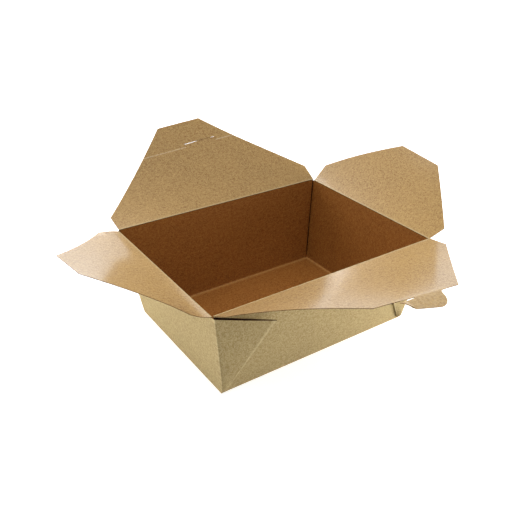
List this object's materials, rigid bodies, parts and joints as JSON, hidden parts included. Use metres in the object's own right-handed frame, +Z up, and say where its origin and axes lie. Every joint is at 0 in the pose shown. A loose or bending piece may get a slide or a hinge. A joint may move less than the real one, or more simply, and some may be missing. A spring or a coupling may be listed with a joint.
{
  "type": "takeaway box",
  "caption": "Folded kraft board food carton with flaring walls, folded corner webs and hinged lid flaps, one with a locking tongue; shown open.",
  "frame": {"origin": "middle of the underside of the base", "axes": "+X along the length towards the right end flap, +Y across the width towards the back flap, +Z up"},
  "size_m": [0.3642, 0.3543, 0.1396],
  "materials": {
    "tray_board": "matte kraft outside, thin glossy film inside",
    "flap_board": "matte kraft outside, thin glossy film inside"
  },
  "bodies": {
    "tray": {"tray": "tray_board"},
    "front_flap": {"front_flap": "flap_board"},
    "back_flap": {"back_flap": "flap_board"},
    "left_flap": {"left_flap": "flap_board"},
    "right_flap": {"right_flap": "flap_board"}
  },
  "joints": [
    {"name": "front_flap_crease", "type": "hinge", "parent": "tray", "child": "front_flap", "pos_m": [0, -0.082, 0.086], "axis": [-1, 0, 0], "range_deg": [-61.2, 151.8]},
    {"name": "back_flap_crease", "type": "hinge", "parent": "tray", "child": "back_flap", "pos_m": [0, 0.082, 0.086], "axis": [1, 0, 0], "range_deg": [-75.6, 144.9]},
    {"name": "left_flap_crease", "type": "hinge", "parent": "tray", "child": "left_flap", "pos_m": [-0.11184, 0, 0.085], "axis": [0, 1, 0], "range_deg": [-65.7, 168.3]},
    {"name": "right_flap_crease", "type": "hinge", "parent": "tray", "child": "right_flap", "pos_m": [0.11184, 0, 0.085], "axis": [0, -1, 0], "range_deg": [-75.3, 158.7]}
  ]
}
